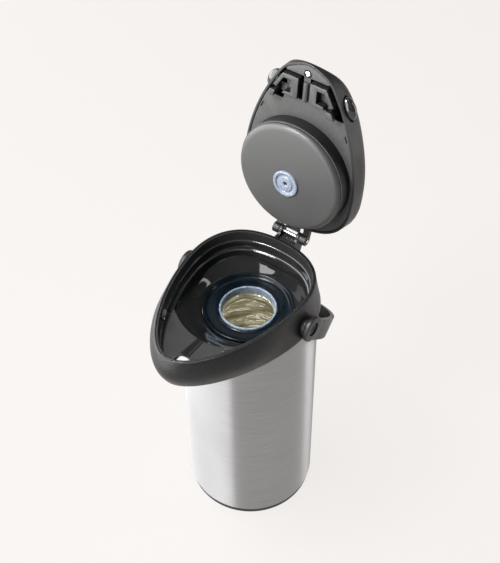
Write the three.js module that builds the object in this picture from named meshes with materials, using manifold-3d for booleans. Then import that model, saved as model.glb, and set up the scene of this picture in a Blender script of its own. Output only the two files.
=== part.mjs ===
// Three-litre pump airpot: a steel-cased vacuum jug with a pouring collar, a swinging carry
// handle and a hinged pump lid, standing with its lid thrown open.
// Millimetres, +Z up, spout towards -Y, hinge towards +Y, origin at the centre of the foot.
// The lid is drawn closed and the handle level; their groups turn them to the stored pose.
import * as THREE from 'three';
import { mergeVertices } from 'three/addons/utils/BufferGeometryUtils.js';
import Module from 'manifold-3d';

const wasm = await Module();
wasm.setup();

// ---- driving dimensions ----
const GAP = 0.3;                       // clearance between touching pieces
const DEG = Math.PI / 180;
const ROUND = 44;                      // facets of a large round wall
const SHELL_ROUND = 64;
const SMALL_ROUND = 16;                // facets of a pin or button

const SHELL_R = 78;
const SHELL_WALL = 0.8;
const SHELL_BOTTOM = 9.5;
const SHELL_TOP = 323.2;

const FOOT_TOP = 3.2;
const BASE_R = 76.4;
const BASE_WALL = 2.2;
const BASE_BOTTOM = 1.2;
const BASE_FLOOR = 3.5;
const CAP_R = 34;                      // screw-in cap that carries the liner
const CAP_TOP = 12;

const LINER_R = 71;
const GLASS = 1.6;
const NECK_IN = 29.3;
const NECK_OUT = 33.2;
const NECK_TOP = 298.8;

const COLLAR_LOW = 320;
const COLLAR_MID = 340;
const RIM_Z = 360;
const WALL = 2.4;                      // moulded plastic wall
const COLLAR_LIP = 1.8;                // collar wall at the rim
const RIM_INNER = 4.2;                 // from the rim's outside to the tray's inner wall
const RIM = {
  tip: 140.6, tipPull: 36.6, side: 73, sidePull: 56, backPull: 17.6, cornerPull: 68.4, back: 67.2,
};
const SKIRT = {
  tip: 139.6, tipPull: 31, side: 80.6, sidePull: 65, backPull: 44.5, cornerPull: 44.5, back: 80.6,
};
const COLLAR_BULGE = 6.5;              // how far the collar's wall swells out round the nose
const TRAY_FLOOR = 335;
const WELL_BOTTOM = 308.6;
const WELL_R = 51.3;
const SPOUT_Y = -120;
const SPOUT_R = 10;
const SPOUT_SLOT = 104;                // how near the middle the slot under the spout hole reaches

const HINGE = { y: 82.5, z: 358 };
const LID_OPEN = 95.9;
const PIN_R = 2;
const KNUCKLE_R = 6;
const HINGE_BLOCK = 354.4;             // top of the collar's block between the hinge ears
const EAR = { near: 9.2, far: 13.2 };
const ARM = { near: 13.8, far: 21.8 };

const LID_INSET = 2.8;                 // how far the lid stands inside the rim's outline
const LID_BOTTOM = 360.5;
const LID_TIP = 136;                   // how far forward the lid reaches, a little more than its outline
const LID_WALL = 15.2;
const CROWN_R = 22;                    // rounding between the lid's wall and its top
const LID_TAIL = 7;                    // how far the lid overhangs the rim at the hinge end
const LID_BULGE = 2;                   // and how much further its wall swells above that
const LID_BLUNT = 3.6;                 // how far the lid's tip stays behind the rim's
const LID_CHEEK = 1.5;                 // and how much fuller it is on either side of the tip
const PANEL_BOTTOM = 361.2;
const PANEL_TOP = 363.6;
const PUMP_Y = -4.4;                   // the pump sits a little forward of the neck
const DOME_R = 63.6;
const DOME_FACE = 337.5;
const VALVE_R = 15.4;
const BUTTON_R = 40;
const BUTTON_TOP = 402.5;
const LOCK_SEAT = 398.6;               // flat on the lid that the lock slides on

const HANDLE = {
  pivotZ: 330, reach: 124, droop: 45, wall: 5, width: 24, eye: 15, inner: 82, square: 2.35,
};

// ---- finishes ----
function finish(color, roughness, metalness = 0) {
  return new THREE.MeshStandardMaterial({ color, roughness, metalness });
}

const steel = finish(0xbfc0c1, 0.32, 1);
const matteBlack = finish(0x262627, 0.62);
const glossBlack = finish(0x0d0d0e, 0.12);
const navyBlack = finish(0x0a0e14, 0.15);
const glass = finish(0x8e8a63, 0.08, 0.6);
const silicone = finish(0xc3cde0, 0.35);
const rubber = finish(0x1b1b1c, 0.85);
const pin = finish(0xd2d2d4, 0.2, 1);
const spring = finish(0x9a9b9d, 0.35, 1);

// ---- solids ----
function solid(geometry) {
  const bare = geometry.clone();
  bare.deleteAttribute('normal');
  bare.deleteAttribute('uv');
  const merged = mergeVertices(bare, 1e-4);
  return new wasm.Manifold(new wasm.Mesh({
    numProp: 3,
    vertProperties: new Float32Array(merged.attributes.position.array),
    triVerts: new Uint32Array(merged.index.array),
  }));
}

function toGeometry(body) {
  const mesh = body.getMesh();
  const geometry = new THREE.BufferGeometry();
  geometry.setAttribute('position', new THREE.BufferAttribute(mesh.vertProperties, 3));
  geometry.setIndex(new THREE.BufferAttribute(mesh.triVerts, 1));
  return geometry;
}

function join(...bodies) {
  return bodies.reduce((sum, body) => sum.add(body));
}

function cut(body, ...tools) {
  return tools.reduce((rest, tool) => rest.subtract(tool), body);
}

function piece(name, body, material) {
  const geometry = body.isBufferGeometry ? body : toGeometry(body);
  geometry.computeVertexNormals();
  const mesh = new THREE.Mesh(geometry, material);
  mesh.name = name;
  return mesh;
}

function box(x0, x1, y0, y1, z0, z1) {
  const geometry = new THREE.BoxGeometry(x1 - x0, y1 - y0, z1 - z0);
  geometry.translate((x0 + x1) / 2, (y0 + y1) / 2, (z0 + z1) / 2);
  return solid(geometry);
}

function cylinderZ(radius, x, y, z0, z1, facets = ROUND) {
  const geometry = new THREE.CylinderGeometry(radius, radius, z1 - z0, facets);
  geometry.rotateX(Math.PI / 2);
  geometry.translate(x, y, (z0 + z1) / 2);
  return solid(geometry);
}

function cylinderX(radius, x0, x1, y, z, facets = SMALL_ROUND) {
  const geometry = new THREE.CylinderGeometry(radius, radius, Math.abs(x1 - x0), facets);
  geometry.rotateZ(Math.PI / 2);
  geometry.translate((x0 + x1) / 2, y, z);
  return solid(geometry);
}

// A turned piece about the vertical axis through (0, y), from [radius, z] profile points.
function turned(profile, y = 0, facets = ROUND) {
  const onAxis = profile[0][0] === 0 && profile[profile.length - 1][0] === 0;
  const points = onAxis ? profile : [...profile, profile[0]];
  const geometry = new THREE.LatheGeometry(points.map(([r, z]) => new THREE.Vector2(r, z)), facets);
  geometry.rotateX(Math.PI / 2);
  geometry.translate(0, y, 0);
  const body = solid(geometry);
  return body.volume() < 0 ? solid(flipped(geometry)) : body;
}

function flipped(geometry) {
  const copy = geometry.clone();
  const index = copy.index.array;
  for (let i = 0; i < index.length; i += 3) {
    [index[i], index[i + 1]] = [index[i + 1], index[i]];
  }
  return copy;
}

// A plate with the plan outline given as [x, y] points, between two heights.
function plate(points, z0, z1) {
  const shape = new THREE.Shape(points.map(([x, y]) => new THREE.Vector2(x, y)));
  const geometry = new THREE.ExtrudeGeometry(shape, { depth: z1 - z0, bevelEnabled: false });
  geometry.translate(0, 0, z0);
  return solid(geometry);
}

// The side view of a piece given as [y, z] points, as wide as from x0 to x1.
function sidePlate(points, x0, x1) {
  const shape = new THREE.Shape(points.map(([y, z]) => new THREE.Vector2(y, z)));
  const geometry = new THREE.ExtrudeGeometry(shape, { depth: x1 - x0, bevelEnabled: false });
  geometry.applyMatrix4(new THREE.Matrix4().makeBasis(
    new THREE.Vector3(0, 1, 0), new THREE.Vector3(0, 0, 1), new THREE.Vector3(1, 0, 0)));
  geometry.translate(x0, 0, 0);
  return solid(geometry);
}

function mirrored(body) {
  return body.mirror([1, 0, 0]);
}

// ---- plan outlines ----
// A teardrop of four Bezier quarters, counter-clockwise from the tip.
function teardrop(o) {
  const front = new THREE.CubicBezierCurve(
    new THREE.Vector2(0, -o.tip), new THREE.Vector2(o.tipPull, -o.tip),
    new THREE.Vector2(o.side, -o.sidePull), new THREE.Vector2(o.side, 0));
  const back = new THREE.CubicBezierCurve(
    new THREE.Vector2(o.side, 0), new THREE.Vector2(o.side, o.backPull),
    new THREE.Vector2(o.cornerPull, o.back), new THREE.Vector2(0, o.back));
  const right = [...front.getPoints(13), ...back.getPoints(9).slice(1)];
  const left = right.slice(1, -1).reverse().map((p) => new THREE.Vector2(-p.x, p.y));
  return [...right, ...left];
}

function inset(points, distance) {
  return points.map((point, i) => {
    const before = points[(i + points.length - 1) % points.length];
    const after = points[(i + 1) % points.length];
    const along = after.clone().sub(before).normalize();
    return new THREE.Vector2(point.x - along.y * distance, point.y + along.x * distance);
  });
}

function blend(a, b, t) {
  return a.map((point, i) => point.clone().lerp(b[i], t));
}

// A closed skin through rings of equal count, [[outline, z or z(point)], ...] from low to high.
function loft(rings) {
  const count = rings[0][0].length;
  const positions = [];
  const index = [];
  for (const [outline, height] of rings) {
    for (const p of outline) {
      positions.push(p.x, p.y, typeof height === 'function' ? height(p) : height);
    }
  }
  for (let k = 0; k + 1 < rings.length; k += 1) {
    for (let i = 0; i < count; i += 1) {
      const a = k * count + i;
      const b = k * count + ((i + 1) % count);
      index.push(a, b, b + count, a, b + count, a + count);
    }
  }
  const top = (rings.length - 1) * count;
  const ends = [[0, false], [top, true]];
  for (const [start, up] of ends) {
    const centre = positions.length / 3;
    const sum = [0, 0, 0];
    for (let i = 0; i < count; i += 1) {
      for (let axis = 0; axis < 3; axis += 1) sum[axis] += positions[3 * (start + i) + axis] / count;
    }
    positions.push(...sum);
    for (let i = 0; i < count; i += 1) {
      const a = start + i;
      const b = start + ((i + 1) % count);
      index.push(...(up ? [a, b, centre] : [b, a, centre]));
    }
  }
  const geometry = new THREE.BufferGeometry();
  geometry.setAttribute('position', new THREE.Float32BufferAttribute(positions, 3));
  geometry.setIndex(index);
  return solid(geometry);
}

function circle(radius, y, facets = ROUND) {
  const points = [];
  for (let i = 0; i < facets; i += 1) {
    const turn = (i / facets) * 2 * Math.PI;
    points.push(new THREE.Vector2(radius * Math.sin(turn), y - radius * Math.cos(turn)));
  }
  return points;
}

// A coil spring along +Z, closed at both ends.
function coil(radius, wire, length, turns, stepsPerTurn, facets) {
  class Helix extends THREE.Curve {
    getPoint(t, target = new THREE.Vector3()) {
      const turn = t * turns * 2 * Math.PI;
      return target.set(radius * Math.cos(turn), radius * Math.sin(turn), wire + t * (length - 2 * wire));
    }
  }
  const section = new THREE.Shape();
  for (let i = 0; i < facets; i += 1) {
    const turn = (i / facets) * 2 * Math.PI;
    const x = wire * Math.cos(turn);
    const y = wire * Math.sin(turn);
    if (i === 0) section.moveTo(x, y);
    else section.lineTo(x, y);
  }
  return new THREE.ExtrudeGeometry(section, { steps: turns * stepsPerTurn, extrudePath: new Helix() });
}

const rim = teardrop(RIM);
const skirt = teardrop(SKIRT);

// ---- base ----
function footRing() {
  const outer = 72;
  const inner = 64;
  return turned([[inner, 0], [outer, 0], [outer, FOOT_TOP], [inner, FOOT_TOP]]);
}

function baseCup() {
  const top = 26;
  const inner = BASE_R - BASE_WALL;
  return turned([
    [CAP_R + GAP, BASE_FLOOR], [inner, BASE_FLOOR], [inner, BASE_BOTTOM],
    [BASE_R, BASE_BOTTOM], [BASE_R, top], [inner, top],
    [inner, BASE_FLOOR + WALL], [CAP_R + WALL, BASE_FLOOR + WALL], [CAP_R + WALL, CAP_TOP], [CAP_R + GAP, CAP_TOP],
  ]);
}

function linerCap() {
  const disc = turned([
    [0, 2.6], [CAP_R, 2.6], [CAP_R, CAP_TOP], [CAP_R - WALL, CAP_TOP], [CAP_R - WALL, 5.4], [0, 5.4],
  ]);
  const coinSlot = box(-14, 14, -1.5, 1.5, 2, 4);
  return cut(disc, coinSlot);
}

function linerCushion() {
  return turned([[7, 5.8], [30.6, 5.8], [30.6, 26.4], [26, 26.6], [9, 23.8], [7, 22]]);
}

// ---- vacuum liner ----
// Double-walled glass: the inner flask, over the lip, the outer flask, and back up inside the
// vacuum space, which stays open only at the sealing tip underneath.
function vacuumLiner() {
  const inner = LINER_R - 6;
  const lip = NECK_TOP;
  return turned([
    [0, 36], [38, 40], [57.5, 50], [inner - GLASS, 66], [inner - GLASS, 255], [50, 272], [NECK_IN, 286],
    [NECK_IN, lip], [NECK_OUT, lip], [NECK_OUT, 288.5], [52, 277], [LINER_R, 259.6],
    [LINER_R, 62], [64, 45], [42, 31.4], [12, 25.8], [3.4, 24.6], [3, 19], [1.7, 19], [2, 26.6],
    [11.5, 27.4], [41, 33], [62.6, 46], [LINER_R - GLASS, 62.5], [LINER_R - GLASS, 258.8], [51.3, 275.5],
    [NECK_OUT - 1.3, 287.7], [NECK_OUT - 1.3, lip - GLASS], [NECK_IN + GLASS, lip - GLASS],
    [NECK_IN + GLASS, 286.8], [51, 273.6], [inner, 255.6],
    [inner, 65.5], [58.6, 48.8], [38.5, 38.4], [0, 34.4],
  ], 0, 36);
}

function mouthGasket() {
  return turned([[29.8, 299.1], [32.6, 299.1], [32.6, 308.4], [31.8, 309.3], [30.4, 309.3], [29.8, 308.6]]);
}

function neckRing() {
  return turned([
    [32.9, 301], [50.8, 301], [50.8, 310.4], [49.7, 311.2], [48.8, 310.6],
    [45.2, 307.9], [36, 307.2], [33.6, 308.2], [32.9, 307.8],
  ]);
}

function outerShell() {
  const inner = SHELL_R - SHELL_WALL;
  const section = [[inner, SHELL_BOTTOM], [SHELL_R, SHELL_BOTTOM], [SHELL_R, SHELL_TOP], [inner, SHELL_TOP]];
  return turned(section, 0, SHELL_ROUND);
}

// ---- collar ----
function outward(points, distance) {
  const centre = new THREE.Vector2(0, -20);
  return points.map((p) => {
    const spoke = p.clone().sub(centre);
    return centre.clone().addScaledVector(spoke, 1 + distance(p) / spoke.length());
  });
}

function collarOutline(z) {
  const t = (z - COLLAR_LOW) / (RIM_Z - COLLAR_LOW);
  const swell = COLLAR_BULGE * Math.sin(Math.PI * t);
  const share = (p) => 1 - THREE.MathUtils.smoothstep(p.y, -90, -20);
  return outward(blend(skirt, rim, t), (p) => swell * share(p));
}

function collarBody() {
  const edge = 0.9;
  const heights = [COLLAR_LOW + edge, COLLAR_MID - 10, COLLAR_MID, COLLAR_MID + 10, RIM_Z - edge];
  return loft([
    [inset(collarOutline(COLLAR_LOW), edge), COLLAR_LOW],
    ...heights.map((z) => [collarOutline(z), z]),
    [inset(collarOutline(RIM_Z), edge), RIM_Z],
  ]);
}

function hingeEar(x0, x1) {
  const knuckle = cylinderX(KNUCKLE_R, x0, x1, HINGE.y, HINGE.z);
  const foot = COLLAR_MID - 10;
  const back = HINGE.y + 5.4;
  const web = sidePlate([[62, foot], [80, foot], [back, HINGE.z - 12], [back, HINGE.z - 2],
    [HINGE.y, HINGE.z + KNUCKLE_R], [HINGE.y - 8, HINGE.z - 1], [62, HINGE.z - 1]], x0, x1);
  return join(knuckle, web);
}

function pivotBoss() {
  return cylinderX(12, RIM.side - 1, HANDLE.inner - 0.6, 0, HANDLE.pivotZ, 28);
}

function collar() {
  const ear = hingeEar(EAR.near, EAR.far);
  const block = box(-EAR.near - 1, EAR.near + 1, 62, HINGE.y + 5.4, COLLAR_MID - 10, HINGE_BLOCK);
  const body = join(collarBody(), ear, mirrored(ear), block, pivotBoss(), mirrored(pivotBoss()));
  const low = COLLAR_LOW + WALL;
  const hollow = loft([
    [inset(collarOutline(low), WALL), low],
    [inset(collarOutline(COLLAR_MID), WALL), COLLAR_MID],
    [inset(collarOutline(RIM_Z), COLLAR_LIP), RIM_Z + 1],
  ]);
  const shellSeat = cylinderZ(SHELL_R + GAP, 0, 0, COLLAR_LOW - 4, SHELL_TOP + GAP, SHELL_ROUND);
  const slotR = SPOUT_R + WALL + GAP;
  const slotEnds = [SPOUT_Y, -SPOUT_SLOT].map((y) => cylinderZ(slotR, 0, y, COLLAR_LOW - 1, low + 1, 28));
  const spoutSlot = join(...slotEnds, box(-slotR, slotR, SPOUT_Y, -SPOUT_SLOT, COLLAR_LOW - 1, low + 1));
  const pinHole = cylinderX(PIN_R + GAP, -ARM.far, ARM.far, HINGE.y, HINGE.z);
  const pivotHole = cylinderX(4.5, -90, 90, 0, HANDLE.pivotZ);
  return cut(body, hollow, shellSeat, spoutSlot, pinHole, pivotHole);
}

// ---- inner tray ----
// The glossy drip tray: a flat floor in the nose, a round well down to the neck ring, a channel
// between them, the spout hole, and two lips that the lid's hooks catch under.
function wellRings(grow) {
  return [
    [circle(WELL_R + grow, 0), WELL_BOTTOM - grow],
    [circle(53.8 + grow, -0.6), 311.8 - grow / 2],
    [circle(60.5 + grow, -3), 318],
    [circle(68.5 + grow, -6), 326.4],
    [circle(75 + grow, -7.4), 332],
    [circle(77.4 + grow, -7.8), 336],
  ];
}

function catchLip() {
  return plate([[36.6, -97.2], [42.4, -97.2], [48.2, -86], [42.3, -86]], 353.6, 356.4);
}

function innerTray() {
  const top = RIM_Z - GAP;
  const underside = TRAY_FLOOR - 4.5;
  const nose = loft([[inset(rim, 4), underside], [inset(rim, COLLAR_LIP + GAP), top]]);
  const bowlRoom = inset(collarOutline(underside + 1), WALL + GAP);
  const room = loft([[bowlRoom, WELL_BOTTOM - WALL], [bowlRoom, underside + 1]]);
  const bowl = loft(wellRings(WALL)).intersect(room);
  const channelUnder = box(-7, 7, SPOUT_Y, -70, TRAY_FLOOR - 9, underside + 1);
  const upper = loft([[inset(rim, 6.4), TRAY_FLOOR], [inset(rim, RIM_INNER), RIM_Z + 1]]);
  const below = WELL_BOTTOM - 4;
  const clip = loft([[inset(rim, 6.8), below], [inset(rim, 6.4), TRAY_FLOOR + 1]]);
  const well = loft(wellRings(0)).intersect(clip);
  const drain = cylinderZ(WELL_R, 0, 0, below, WELL_BOTTOM + 0.5);
  const channel = box(-4.5, 4.5, SPOUT_Y, -70, TRAY_FLOOR - 6.5, TRAY_FLOOR + 1);
  const spoutHole = cylinderZ(SPOUT_R, 0, SPOUT_Y, TRAY_FLOOR - 10, TRAY_FLOOR + 1, 28);
  const body = cut(join(nose, bowl, channelUnder), upper, well, drain, channel, spoutHole);
  const skin = loft([[inset(rim, 5), underside], [inset(rim, 4), top]]);
  const lips = join(catchLip(), mirrored(catchLip())).intersect(skin);
  return join(body, lips);
}

// ---- handle ----
// A flat strap bent round in plan, from one pivot eye to the other, along a squared-off ellipse.
function strapEdge(grow) {
  const steps = 32;
  const power = 2 / HANDLE.square;
  const points = [];
  for (let i = 0; i <= steps; i += 1) {
    const turn = (i / steps) * Math.PI;
    const x = Math.sign(Math.cos(turn)) * Math.abs(Math.cos(turn)) ** power;
    const y = Math.sin(turn) ** power;
    points.push([x * (HANDLE.inner + grow), y * (HANDLE.reach + grow)]);
  }
  return points;
}

function handleStrap() {
  const t = HANDLE.wall;
  const half = HANDLE.width / 2;
  const contour = [...strapEdge(t), ...strapEdge(0).reverse()];
  const strap = plate(contour, HANDLE.pivotZ - half, HANDLE.pivotZ + half);
  const eye = cylinderX(HANDLE.eye, HANDLE.inner, HANDLE.inner + t, 0, HANDLE.pivotZ, 28);
  const bore = cylinderX(8, -95, 95, 0, HANDLE.pivotZ, 24);
  return cut(join(strap, eye, mirrored(eye)), bore);
}

function pivotPin() {
  const shank = cylinderX(4.2, 76, HANDLE.inner + 1, 0, HANDLE.pivotZ);
  const head = cylinderX(7.6, HANDLE.inner + GAP, HANDLE.inner + HANDLE.wall - 1.6, 0, HANDLE.pivotZ, 24);
  return join(shank, head);
}

function hingePin() {
  return cylinderX(PIN_R, -ARM.far - 1, ARM.far + 1, HINGE.y, HINGE.z);
}

// ---- lid ----
function lidReach(p) {
  const tail = LID_TAIL * THREE.MathUtils.smoothstep(p.y, 5, 60);
  const cheek = LID_CHEEK * Math.exp(-(((p.y + 121) / 13) ** 2));
  return tail + cheek - LID_BLUNT * THREE.MathUtils.smoothstep(-p.y, 120, 138);
}

const lidOutline = outward(inset(rim, LID_INSET), lidReach);

// The lid's side wall starts from nothing at the tip and soon reaches its full height.
function lidWallTop(y) {
  return LID_BOTTOM + 0.3 + LID_WALL * (1 - Math.exp(-(y + LID_TIP) / 16));
}

// The rounded shoulder above the wall is low over the tip and full over the pump.
function crownRise(y) {
  return CROWN_R * (1 - 0.6 * Math.exp(-(y + LID_TIP) / 12));
}

function lidBulge(y) {
  return LID_BULGE * THREE.MathUtils.smoothstep(y, -10, 50);
}

function lidDome(skin) {
  const rings = [[inset(lidOutline, skin), skin ? LID_BOTTOM - 1 : LID_BOTTOM]];
  for (const angle of [0, 30, 60, 90]) {
    const across = Math.cos(angle * DEG);
    const up = Math.sin(angle * DEG);
    const step = (p) => lidBulge(p.y) * across - skin - (CROWN_R - skin) * (1 - across);
    rings.push([outward(lidOutline, step), (p) => lidWallTop(p.y) + (crownRise(p.y) - skin) * up]);
  }
  const flat = outward(lidOutline, () => -CROWN_R - 12);
  rings.push([flat, (p) => lidWallTop(p.y) + crownRise(p.y) - skin + 0.8]);
  return loft(rings);
}

function hingeArm() {
  const knuckle = cylinderX(KNUCKLE_R, ARM.near, ARM.far, HINGE.y, HINGE.z);
  const web = sidePlate([[58, 361.4], [HINGE.y - 7, 361.4], [HINGE.y, HINGE.z - KNUCKLE_R],
    [HINGE.y + KNUCKLE_R, HINGE.z], [HINGE.y + 4, HINGE.z + 5.5], [58, 371]], ARM.near, ARM.far);
  return join(knuckle, web);
}

const BUTTON = { x: 44.6, y: -95, z: 372.4, out: 8.4, along: 13, up: 6.4, turn: -27.5 };

// An ellipsoid centred on the lid's side wall, turned to face squarely out of it.
function buttonBulge() {
  const geometry = new THREE.SphereGeometry(1, 20, 12);
  geometry.scale(BUTTON.out, BUTTON.along, BUTTON.up);
  geometry.rotateZ(BUTTON.turn * DEG);
  geometry.translate(BUTTON.x, BUTTON.y, BUTTON.z);
  return solid(geometry);
}

function buttonWindow() {
  const geometry = new THREE.CylinderGeometry(1, 1, 60, 24);
  geometry.rotateZ(Math.PI / 2);
  geometry.scale(1, BUTTON.along, BUTTON.up + 0.7);
  geometry.translate(BUTTON.x + 10, BUTTON.y, BUTTON.z);
  return solid(geometry);
}

function lidCover() {
  const pad = box(-20, 20, -86, -66, 392, LOCK_SEAT);
  const arms = join(hingeArm(), mirrored(hingeArm()));
  const inside = lidDome(WALL);
  const shelf = box(-EAR.near + GAP, EAR.near - GAP, 68, HINGE.y - 3, LID_BOTTOM + GAP, LID_BOTTOM + 3.5);
  const armsOutside = cut(join(arms, shelf), inside);
  const underPad = box(-17.6, 17.6, -83.6, -68.4, 380, LOCK_SEAT - WALL);
  const body = join(cut(join(lidDome(0), pad), inside, underPad), armsOutside);
  const buttonHole = cylinderZ(BUTTON_R + 0.5, 0, PUMP_Y, 380, 410);
  const pinHole = cylinderX(PIN_R + GAP, -30, 30, HINGE.y, HINGE.z);
  const lockSlot = box(-11, 11, -78.4, -73.6, 380, 400);
  return cut(body, buttonHole, buttonWindow(), mirrored(buttonWindow()), pinHole, lockSlot);
}

// Notch in the underside for one latch, and the C-shaped frame that fills most of it.
const LATCH_LOW = 355.4;
const LATCH_TOP = 366;
const SCREW_Y = -122.5;
const WINDOW_PLAN = [[3.9, -119], [24.6, -119], [30, -124], [50, -100], [50, -84], [27, -84], [25, -91],
  [3.9, -91]];
const FRAME_PLAN = [[7.2, -117], [26.2, -117], [36.4, -99.8], [33, -97.8], [26, -110.2], [24.4, -111.8],
  [15.4, -111.8], [15.4, -97.2], [24, -96.4], [26, -93.2], [7.2, -93.2]];
const HOOK_PLAN = [[31, -97], [34.8, -97], [38.8, -89], [33.2, -89]];
const BARB_PLAN = [[31, -97], [37, -97], [41, -89], [33.2, -89]];

function lidPanel() {
  const edge = inset(lidOutline, WALL + 0.5);
  const sheet = loft([[edge, PANEL_BOTTOM], [edge, PANEL_TOP]]);
  const below = PANEL_BOTTOM - 10;
  const above = PANEL_TOP + 6;
  const domeHole = cylinderZ(DOME_R + 0.4, 0, PUMP_Y, below, above);
  const window = plate(WINDOW_PLAN, below, above);
  const rib = new THREE.CylinderGeometry(3.3, 3.3, 22, SMALL_ROUND);
  rib.translate(0, -102.5, PANEL_BOTTOM - 0.4);
  const springWall = box(-2.6, 2.6, -109, -99, PANEL_TOP - 0.5, 374);
  const screwHole = cylinderZ(3.6, 0, SCREW_Y, below, above, SMALL_ROUND);
  return cut(join(sheet, solid(rib), springWall), domeHole, window, mirrored(window), screwHole);
}

function panelScrew() {
  const head = cylinderZ(3.3, 0, SCREW_Y, PANEL_BOTTOM - 0.6, PANEL_TOP, SMALL_ROUND);
  const low = PANEL_BOTTOM - 6;
  const deep = PANEL_BOTTOM + 0.6;
  const slotA = box(-2.2, 2.2, SCREW_Y - 0.4, SCREW_Y + 0.4, low, deep);
  const slotB = box(-0.4, 0.4, SCREW_Y - 2.2, SCREW_Y + 2.2, low, deep);
  return cut(head, slotA, slotB);
}

function latchSlider() {
  const hookLow = LATCH_LOW - 5.4;
  const frame = plate(FRAME_PLAN, LATCH_LOW, LATCH_TOP);
  const hook = plate(HOOK_PLAN, hookLow + 0.6, LATCH_TOP);
  const barb = plate(BARB_PLAN, hookLow, hookLow + 3);
  const low = LATCH_TOP - 2;
  const high = LATCH_TOP + 0.8;
  const bridge = join(box(7.6, 26, -113, -94, low, high), box(25, 32, -101, -90, low, high));
  const post = box(19, 21.4, -109, -99, LATCH_TOP, LATCH_TOP + 8);
  return join(frame, hook, barb, bridge, post);
}

function releaseButton() {
  const core = loft([[inset(lidOutline, 5.4), 355], [inset(lidOutline, 5.4), 385]]);
  return cut(buttonBulge(), core);
}

function latchSpring() {
  const geometry = coil(3, 0.5, 15.6, 4, 8, 4);
  geometry.rotateY(Math.PI / 2);
  geometry.translate(3, -104, 370.4);
  return geometry;
}

// ---- pump ----
function pumpHousing() {
  const r = DOME_R;
  const wall = 2.3;
  const fillet = 7;
  const outerFillet = [];
  const innerFillet = [];
  for (const angle of [0, 30, 60, 90]) {
    const s = Math.sin(angle * DEG);
    const c = Math.cos(angle * DEG);
    outerFillet.push([r - fillet + fillet * s, DOME_FACE + fillet - fillet * c]);
    innerFillet.push([r - fillet + (fillet - wall) * s, DOME_FACE + fillet - (fillet - wall) * c]);
  }
  const flange = PANEL_TOP + GAP;
  const cup = turned([
    [0, DOME_FACE], ...outerFillet, [r, flange], [r + 2.4, flange], [r + 2.4, 366.4], [r - wall, 366.4],
    ...innerFillet.reverse(), [0, DOME_FACE + wall],
  ], PUMP_Y);
  return cut(cup, cylinderZ(VALVE_R + GAP, 0, 0, 330, 345, 32));
}

function domeSealRing() {
  return turned([[DOME_R + 0.3, 345.2], [DOME_R + 1.4, 345.6], [DOME_R + 1.4, 347.2], [DOME_R + 0.3, 347.6]], PUMP_Y);
}

// The valve sits over the neck, so a little behind the middle of the dome.
function airValve() {
  return turned([
    [2.2, 335.9], [8.2, 335.9], [9, 336.9], [11.2, 336.9], [12.2, 335.3], [14.8, 335.3], [VALVE_R, 336.2],
    [VALVE_R, 341], [2.2, 341],
  ], 0, 32);
}

function pumpButton() {
  return turned([
    [0, BUTTON_TOP - 1.4], [26, BUTTON_TOP - 0.9], [35, BUTTON_TOP], [38.6, BUTTON_TOP - 0.8], [BUTTON_R, BUTTON_TOP - 3],
    [BUTTON_R, 392.6], [BUTTON_R + 4, 392.6], [BUTTON_R + 4, 390.2], [37.6, 390.2], [37.6, BUTTON_TOP - 4.4],
    [0, BUTTON_TOP - 5],
  ], PUMP_Y);
}

function bellows() {
  const folds = 4;
  const bottom = 340.4;
  const top = 389.8;
  const pitch = (top - bottom) / folds;
  const outer = [];
  const inner = [];
  for (let i = 0; i < folds; i += 1) {
    outer.push([38, bottom + i * pitch], [43, bottom + (i + 0.5) * pitch]);
    inner.push([36.6, bottom + i * pitch], [41.2, bottom + (i + 0.5) * pitch]);
  }
  outer.push([38, top]);
  inner.push([36.6, top]);
  return turned([...outer, ...inner.reverse()], PUMP_Y, 32);
}

function pumpSpring() {
  const geometry = coil(26, 1.1, 55.4, 5, 12, 5);
  geometry.translate(0, PUMP_Y, 341.4);
  return geometry;
}

function lockSlider() {
  const knobTop = LOCK_SEAT + 2.6;
  const footTop = LOCK_SEAT - WALL - GAP;
  const knob = box(-8, 8, -81, -71, LOCK_SEAT + GAP, knobTop);
  const grip = box(-1.2, 1.2, -81, -71, knobTop - 1, knobTop + 0.8);
  const stem = box(-5, 5, -78, -74, footTop - 1, knobTop - 1);
  const foot = box(-7, 7, -82.4, -69.6, footTop - 3, footTop);
  return join(knob, grip, stem, foot);
}

// ---- assembly ----
const airpot = new THREE.Group();
airpot.add(
  piece('foot_ring', footRing(), rubber),
  piece('base_cup', baseCup(), matteBlack),
  piece('liner_cap', linerCap(), matteBlack),
  piece('liner_cushion', linerCushion(), rubber),
  piece('vacuum_liner', vacuumLiner(), glass),
  piece('mouth_gasket', mouthGasket(), silicone),
  piece('neck_ring', neckRing(), navyBlack),
  piece('outer_shell', outerShell(), steel),
  piece('collar', collar(), matteBlack),
  piece('inner_tray', innerTray(), glossBlack),
  piece('hinge_pin', hingePin(), pin),
  piece('pivot_pin_right', pivotPin(), matteBlack),
  piece('pivot_pin_left', mirrored(pivotPin()), matteBlack),
);

const handleAxis = new THREE.Group();
handleAxis.position.set(0, 0, HANDLE.pivotZ);
handleAxis.rotation.x = -HANDLE.droop * DEG;
const handleFrame = new THREE.Group();
handleFrame.position.set(0, 0, -HANDLE.pivotZ);
handleFrame.add(piece('carry_handle', handleStrap(), matteBlack));
handleAxis.add(handleFrame);
airpot.add(handleAxis);

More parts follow.
